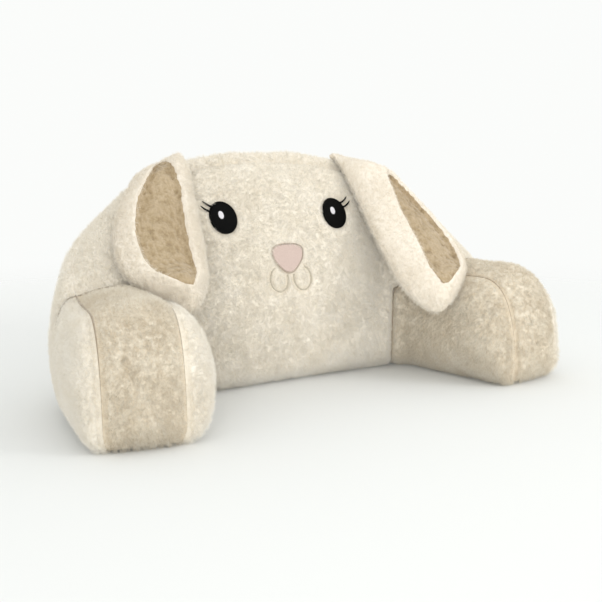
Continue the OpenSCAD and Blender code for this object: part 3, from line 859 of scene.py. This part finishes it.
def build_inside():
    base_sheet("back_base", np.linspace(-330, 330, 160), ["back_base_cloth"])
    wadding("back_wadding", np.linspace(-290, 290, 90), ["back_filling"])
    for name, side in SIDES.items():
        s = np.sort(side * np.linspace(332, PATH_END - 20, 70))
        base_sheet(f"{name}_arm_base", s, [f"{name}_arm_base_cloth"], arm=name)
        s = np.sort(side * np.linspace(322, PATH_END - 26, 60))
        wadding(f"{name}_arm_wadding", s, [f"{name}_arm_filling"], arm=name)


# ---------- ears ----------
def curve(c, u):
    c = np.asarray(c, float)
    u = np.asarray(u, float)[..., None]
    k = 1 - u
    return c[0] * k**3 + c[1] * 3 * k * k * u + c[2] * 3 * k * u * u + c[3] * u**3


def ear_full(u):
    return np.sqrt(np.clip(1 - np.clip((u - 0.8) / 0.2, 0, 1) ** 2, 0.0004, 1))


def ear_root_share(u):
    return smooth(u / 0.22)


def ear_point(name, u, v, h):
    """A point of the ear: u from root to tip, v from -1 to 1 across, h its height off the back of the ear."""
    inner, outer = EAR_EDGES[name]
    step = 0.01
    p, q = curve(inner, u), curve(outer, u)
    ahead = curve(inner, np.minimum(u + step, 1)) + curve(outer, np.minimum(u + step, 1))
    behind = curve(inner, u - step) + curve(outer, u - step)
    wide = (q - p) / 2
    up = unit(np.cross(ahead - behind, wide))
    lift = h - EAR_ARCH * ear_root_share(u) * (v * v - 0.5)
    point = (p + q) / 2 + wide * (v * ear_full(u))[..., None] + up * lift[..., None]
    return point * np.array([SIDES[name], 1, 1])


def ear_height(u):
    return mix(ROOT_RADIUS * 1.6, EAR_THICK, ear_root_share(u)) * ear_full(u)


def ear_round(v):
    return np.maximum(1 - np.abs(v) ** EAR_SQUARENESS, 0) ** (1 / EAR_SQUARENESS)


def lining_half(name, u):
    """Half the width of an ear's lining at each place along the ear, drawn in at both of its ends."""
    half, start = LINING_AT[name][1:]
    opening = np.clip((u - start) / 0.3, 0, 1) ** 0.5
    closing = np.clip((LINING_END - u) / 0.1, 0, 1) ** 0.4
    return half * opening * closing


def lining_depth(name, u, v):
    """How far into the sunken lining a point lies, 0 outside it and 1 well inside."""
    middle = LINING_AT[name][0]
    return smooth((lining_half(name, u) + LINING_EDGE / 2 - np.abs(v - middle)) / LINING_EDGE)


def ear_front(name, u, v):
    """Height of the face of an ear; the lining's dip starts with the root and fades toward the tip."""
    dip = EAR_DIP * ear_root_share(u) * ear_full(u) * smooth((0.97 - u) / 0.2)
    return ear_height(u) * mix(EAR_MIDDLE, 1, ear_round(v)) - dip * lining_depth(name, u, v)


def ear_back(u, v):
    return ear_height(u) * EAR_MIDDLE * (1 - ear_round(v))


def closed_tube(name, rings, flip, materials):
    """A closed skin through rings of points, each end drawn to a middle point."""
    rows, cols = rings.shape[:2]
    points = np.vstack([rings.reshape(-1, 3), rings[0].mean(0), rings[-1].mean(0)])
    faces = grid_quads(rows, cols, wrap=True).tolist()
    first, last = rows * cols, rows * cols + 1
    for j in range(cols):
        n = (j + 1) % cols
        faces.append([first, n, j])
        faces.append([last, (rows - 1) * cols + j, (rows - 1) * cols + n])
    if flip:
        faces = [f[::-1] for f in faces]
    return make_object(name, points, faces, materials)


def ear_skin(name, u, inset=0.0, half=72):
    """Rings of points round an ear, drawn in by an inset, with which of them face away from the head.

    half is the number of points across the ear's face; u and v of every point come with them.
    """
    angle = np.linspace(0, np.pi, half)
    v = np.concatenate([np.cos(angle), -np.cos(angle[1:-1])])[None, :]
    front = np.concatenate([np.ones(half, bool), np.zeros(half - 2, bool)])[None, :]
    u = u[:, None] + 0 * v
    v = v + 0 * u
    h = np.where(front, ear_front(name, u, v), ear_back(u, v))
    middle = ear_height(u) * EAR_MIDDLE
    tall = np.maximum(ear_height(u) - 2 * inset, 0.6) / ear_height(u)
    keep = np.maximum(1 - inset / 60, 0.3)
    points = ear_point(name, u, v * keep, middle + (h - middle) * tall)
    return points, front & (np.abs(v) < 0.97), u, v


def build_ear(name):
    tip = 0.84
    rounded = tip + (1 - tip) * np.sin(np.linspace(0, np.pi / 2, 34))
    u = np.concatenate([np.linspace(0, tip, 118), rounded[1:]])
    rings, front, us, vs = ear_skin(name, u)
    normals = unit(np.cross(np.roll(rings, -1, 1) - np.roll(rings, 1, 1), np.gradient(rings, axis=0)))
    sample = 60
    outward = np.sign((normals[sample] * (rings[sample] - rings[sample].mean(0))).sum())
    height = tufting(rings)
    face_share = np.where(front, 0.45, 1.0)
    inside = np.where(front, lining_depth(name, us, vs), 0)
    rise = TUFT_HEIGHT * height * face_share + 1.3 * noise(rings, 38, seed=51)
    rise = rise * (1 - smooth(inside / 0.3)) * smooth(us / 0.06) * smooth((1 - us) / 0.02 + 0.2)
    skin = rings + normals * outward * rise[..., None]
    obj = closed_tube(f"{name}_ear_fur", skin, outward < 0, [RIM, RIM_STRANDS])
    # Pile height for the material's painted shade and light; the ear's face is set a little lighter than its
    # back
    tuft = np.clip(0.5 + 0.5 * height * face_share + 0.12 * front, 0, 1)
    set_attribute(obj, "tuft", np.append(tuft.ravel(), [0.5, 0.5]))
    cover = (1 - smooth(inside / 0.35)) * np.where(front, 0.75, 1.0)
    set_group(obj, "fur", np.append(cover.ravel(), [0, 0]))
    add_strands(obj, 7.5, PILE * 0.75, seed=60 + SIDES[name])
    settle(obj, [f"{name}_ear_shell"], body=f"{name}_ear")
    build_lining(name)
    build_ear_wadding(name)
    build_ear_root(name)


def build_lining(name):
    """The tan cloth sewn into an ear, its ragged edge just above the rim's fur."""
    side = SIDES[name]
    middle, start = LINING_AT[name][0], LINING_AT[name][2]
    margin = 0.004
    along = mix(start + margin, LINING_END - margin, eased(110))
    u, k = np.meshgrid(along, np.linspace(-1, 1, 56), indexing="ij")
    v = middle + k * (lining_half(name, u) + 0.05)
    edge = smooth(lining_depth(name, u, v) / 0.6)
    front = ear_front(name, u, v)
    base = ear_point(name, u, v, front - 2.2)
    height = tufting(base, lie=1.2)
    ragged = 4 * edge * (1 - edge) * (2.6 * noise(base, (5, 5, 8), seed=55) - 1.0)
    outer = ear_point(name, u, v, front - 3.0 + edge * (5.0 + 1.7 * height) + ragged)
    inner = ear_point(name, u, v, front - 4.5)
    obj = shell(f"{name}_ear_lining_fur", outer, inner, side < 0, [LINING, LINING_STRANDS])
    tuft = np.clip(0.5 + 0.55 * height, 0, 1)
    set_attribute(obj, "tuft", np.concatenate([tuft.ravel(), np.full(height.size, 0.3)]))
    set_group(obj, "fur", np.concatenate([edge.ravel(), np.zeros(edge.size)]))
    add_strands(obj, 3.0, PILE * 0.7, seed=70 + side, spread=1.6)
    settle(obj, [f"{name}_ear_lining"], body=f"{name}_ear")


def build_ear_wadding(name):
    rings = ear_skin(name, np.linspace(0.12, 0.84, 60), inset=15.0, half=30)[0]
    obj = closed_tube(f"{name}_ear_wadding", rings, SIDES[name] > 0, [WADDING])
    settle(obj, [f"{name}_ear_batting"], body=f"{name}_ear")


def build_ear_root(name):
    """The rolled seam along the top of the head that an ear swings from."""
    side = SIDES[name]
    inner, outer = EAR_EDGES[name]
    k = np.linspace(-0.01, 1.01, 60)[:, None]
    line = mix(np.array(inner[0], float), np.array(outer[0], float), k) * np.array([side, 1, 1])
    line = line + 0.8 * np.stack([noise(line, 12, seed=61 + axis) for axis in range(3)], -1)
    fat = (ROOT_RADIUS - 0.6) * np.sqrt(np.clip(1 - np.abs(2 * k[:, 0] - 1) ** 14, 0.02, 1))
    root = tube(f"{name}_ear_seam_roll", line, fat, [0, 0, 1], [RIM, RIM_STRANDS], sides=20)
    count = len(root.data.vertices)
    # A low pile value, so the material's painted shade makes the seam roll darker all over
    set_attribute(root, "tuft", np.full(count, 0.25))
    set_group(root, "fur", np.ones(count))
    add_strands(root, 0.5, PILE * 0.5, seed=80 + side)
    settle(root, [f"{name}_ear_root"], body=f"{name}_ear")


# ---------- sewn face ----------
def patch(name, outline, lift, nodes, material, rings=40, ribs=0.0, dome=1.6):
    """A patch sewn flat on the face: a closed, slightly domed disc inside an outline of x and z."""
    outline = np.asarray(outline, float)
    middle = outline.mean(0)
    r = np.linspace(0.02, 1, rings)[:, None]
    x = middle[0] + (outline[:, 0] - middle[0]) * r
    z = middle[1] + (outline[:, 1] - middle[1]) * r
    border = smooth((r - 0.9) / 0.05) * smooth((1.004 - r) / 0.02)
    stitch_count = 90
    around = np.linspace(0, 2 * np.pi * stitch_count, len(outline), endpoint=False)
    height = lift + dome * (1 - r**3) * 0.6 + (0.7 * border if ribs else 0) + ribs * border * np.sin(around)
    height = height - (lift + 0.6) * smooth((r - 0.985) / 0.015)
    front = on_face(x, z, height)
    back = on_face(x, z, -2.0 + 0 * height)
    obj = closed_tube(name, np.concatenate([back, front[::-1]], axis=0), False, [material])
    settle(obj, nodes, body="back")


def oval(x, z, wide, tall, lean, count=240):
    k = np.linspace(0, 2 * np.pi, count, endpoint=False)
    a, b = wide / 2 * np.cos(k), tall / 2 * np.sin(k)
    return np.stack([x + a * math.cos(lean) - b * math.sin(lean),
                     z + a * math.sin(lean) + b * math.cos(lean)], -1)


def nose_outline(grow, count=240):
    k = np.linspace(0, 2 * np.pi, count, endpoint=False)
    drop = (1 - np.sin(k)) / 2
    narrow = 1 - 0.62 * drop**1.3
    x = (NOSE_WIDE / 2 + grow) * np.sign(np.cos(k)) * np.abs(np.cos(k)) ** 0.75 * narrow
    z = np.where(np.sin(k) > 0, np.abs(np.sin(k)) ** 0.8, np.sin(k))
    return np.stack([x, NOSE_Z + (NOSE_TALL / 2 + grow) * z], -1)


def lash_paths(side):
    k = np.linspace(0, 1, 24)
    for n in (0, 1):
        x = side * (EYE_X + EYE_WIDE * (0.5 - 0.1 * n) + LASH_LONG * k - 3)
        z = EYE_Z + EYE_TALL * (0.2 + 0.14 * n) + 3 * k + 7 * k * k
        yield on_face(x, z, THREAD + 2.4)


def joined(name, parts):
    """Several small meshes as one piece."""
    points, faces, start = [], [], 0
    material = parts[0].data.materials[0]
    for part in parts:
        points += [list(v.co / MM) for v in part.data.vertices]
        faces += [[i + start for i in p.vertices] for p in part.data.polygons]
        start = len(points)
        bpy.data.objects.remove(part)
    return make_object(name, points, faces, [material])


def build_eye(name):
    side = SIDES[name]
    patch(f"{name}_eye_patch", oval(side * EYE_X, EYE_Z, EYE_WIDE, EYE_TALL, EYE_LEAN), EYE_LIFT,
          [f"{name}_eye"], BLACK, ribs=0.15)
    glint = oval(side * EYE_X - GLINT_OFFSET, EYE_Z + GLINT_OFFSET, GLINT_WIDE, GLINT_TALL, EYE_LEAN, 96)
    patch(f"{name}_eye_glint", glint, GLINT_LIFT,
          [f"{name}_eye_light"], WHITE, rings=16, dome=0.6)
    fat = 1.4 * THREAD * np.sin(np.linspace(0.35, 0.93, 24) * np.pi) ** 0.6
    strokes = [tube("lash", path, fat, [0, 1, 0], [BLACK]) for path in lash_paths(side)]
    settle(joined(f"{name}_lash_stitches", strokes), [f"{name}_lashes"], body="back")


def build_nose():
    patch("nose_felt", nose_outline(0), NOSE_LIFT, ["nose_patch"], PINK)
    line = nose_outline(THREAD + 0.2)
    twist = 1 + 0.16 * np.sin(np.linspace(0, 2 * np.pi * 70, len(line), endpoint=False))
    seam = tube("nose_seam", on_face(line[:, 0], line[:, 1], 0.9), (THREAD - 0.3) * twist, [0, 1, 0],
                [TAN], wrap=True)
    settle(seam, ["nose_stitching"], body="back")


def build_mouth():
    loops = []
    for side in SIDES.values():
        k = np.radians(np.linspace(-20, 250, 120))
        x = side * (MOUTH_X - MOUTH_LOOP / 2 * np.cos(k))
        z = MOUTH_Z - MOUTH_TALL / 2 * np.sin(k)
        twist = 1 + 0.14 * np.sin(np.linspace(0, 2 * np.pi * 16, len(k)))
        loops.append(tube("loop", on_face(x, z, THREAD + 1.2), THREAD * twist, [0, 1, 0], [SHADED_CREAM_THREAD]))
    settle(joined("mouth_loops", loops), ["mouth_stitching"], body="back")


# ---------- zipper and label ----------
def dress_zipper():
    looks = {
        "upper_zipper_tape": TAPE, "lower_zipper_tape": TAPE, "upper_zipper_teeth": TEETH,
        "lower_zipper_teeth": TEETH, "zipper_stops": METAL, "zipper_slider": METAL,
        "zipper_pull": METAL, "care_label": LABEL,
    }
    for node, material in looks.items():
        obj = frame["nodes"][node]
        obj.data.materials.clear()
        obj.data.materials.append(material)


# ---------- stage ----------
def build_stage():
    """A pale floor that fades out into an even, bright surrounding."""
    material, tree, shader = new_material("pale_floor", 0.9)
    shader.inputs["Base Color"].default_value = (0.86, 0.87, 0.86, 1)
    clear = tree.nodes.new("ShaderNodeBsdfTransparent")
    blend = tree.nodes.new("ShaderNodeMixShader")
    coordinates = tree.nodes.new("ShaderNodeTexCoord")
    distance = tree.nodes.new("ShaderNodeVectorMath")
    distance.operation = "LENGTH"
    fade = tree.nodes.new("ShaderNodeMapRange")
    fade.inputs["From Min"].default_value = FLOOR_SOLID
    fade.inputs["From Max"].default_value = FLOOR_GONE
    fade.interpolation_type = "SMOOTHSTEP"
    tree.links.new(coordinates.outputs["Object"], distance.inputs[0])
    tree.links.new(distance.outputs["Value"], fade.inputs["Value"])
    tree.links.new(fade.outputs["Result"], blend.inputs["Fac"])
    tree.links.new(shader.outputs["BSDF"], blend.inputs[1])
    tree.links.new(clear.outputs["BSDF"], blend.inputs[2])
    tree.links.new(blend.outputs["Shader"], tree.nodes["Material Output"].inputs["Surface"])
    sides = 96
    radii = (5, 700, 1400, 2500)
    k = np.linspace(0, 2 * np.pi, sides, endpoint=False)
    rings = np.array([[[r * math.cos(a), r * math.sin(a), -FLOOR_DROP] for a in k] for r in radii])
    points = np.vstack([rings.reshape(-1, 3), [[0, 0, -FLOOR_DROP]]])
    faces = grid_quads(len(radii), sides, wrap=True)[:, ::-1].tolist()
    faces += [[len(radii) * sides, j, (j + 1) % sides] for j in range(sides)]
    floor = make_object("floor", points, faces, [material])
    world = bpy.data.worlds.new("studio")
    world.use_nodes = True
    background = world.node_tree.nodes["Background"]
    background.inputs["Color"].default_value = (0.965, 0.975, 0.96, 1)
    background.inputs["Strength"].default_value = 1.0
    bpy.context.scene.world = world
    bpy.context.scene.view_settings.view_transform = "Standard"


def hang_light(light, place_m, target):
    obj = bpy.data.objects.new(light.name, light)
    obj.location = place_m
    obj.rotation_euler = (Vector(target) - obj.location).to_track_quat("-Z", "Y").to_euler()
    bpy.context.scene.collection.objects.link(obj)


def add_light(name, place_m, size, power):
    """A round area light aimed at the middle of the pillow."""
    light = bpy.data.lights.new(name, "AREA")
    light.shape = "DISK"
    light.size = size
    light.energy = power
    hang_light(light, place_m, (0, 0, 0.15))


def add_spot(name, place_m, power, cone_degrees, target):
    """A soft-edged spot on one part of the pillow."""
    light = bpy.data.lights.new(name, "SPOT")
    light.energy = power
    light.spot_size = math.radians(cone_degrees)
    light.spot_blend = 1.0
    light.shadow_soft_size = 0.35
    hang_light(light, place_m, target)


def build_camera():
    azimuth, elevation = math.radians(CAMERA_AZIMUTH), math.radians(CAMERA_ELEVATION)
    back = Vector((math.sin(azimuth) * math.cos(elevation), -math.cos(azimuth) * math.cos(elevation),
                   math.sin(elevation)))
    data = bpy.data.cameras.new("camera")
    data.lens = CAMERA_LENS
    data.sensor_width = CAMERA_SENSOR
    camera = bpy.data.objects.new("camera", data)
    camera.location = CAMERA_PLACE
    camera.rotation_mode = "QUATERNION"
    camera.rotation_quaternion = (-back).to_track_quat("-Z", "Y")
    bpy.context.scene.collection.objects.link(camera)
    bpy.context.scene.camera = camera


build_camera()
build_stage()
add_light("key", (1.9, -2.3, 0.9), size=1.0, power=24)
add_light("fill", (-1.6, -2.6, 0.7), size=1.8, power=20)
add_spot("cheek", (-1.9, -2.4, 0.9), power=80, cone_degrees=18, target=(0.26, 0.02, 0.2))
build_head()
for arm in SIDES:
    build_arm(arm)
build_inside()
for ear in SIDES:
    build_ear(ear)
for eye in SIDES:
    build_eye(eye)
build_nose()
build_mouth()
dress_zipper()
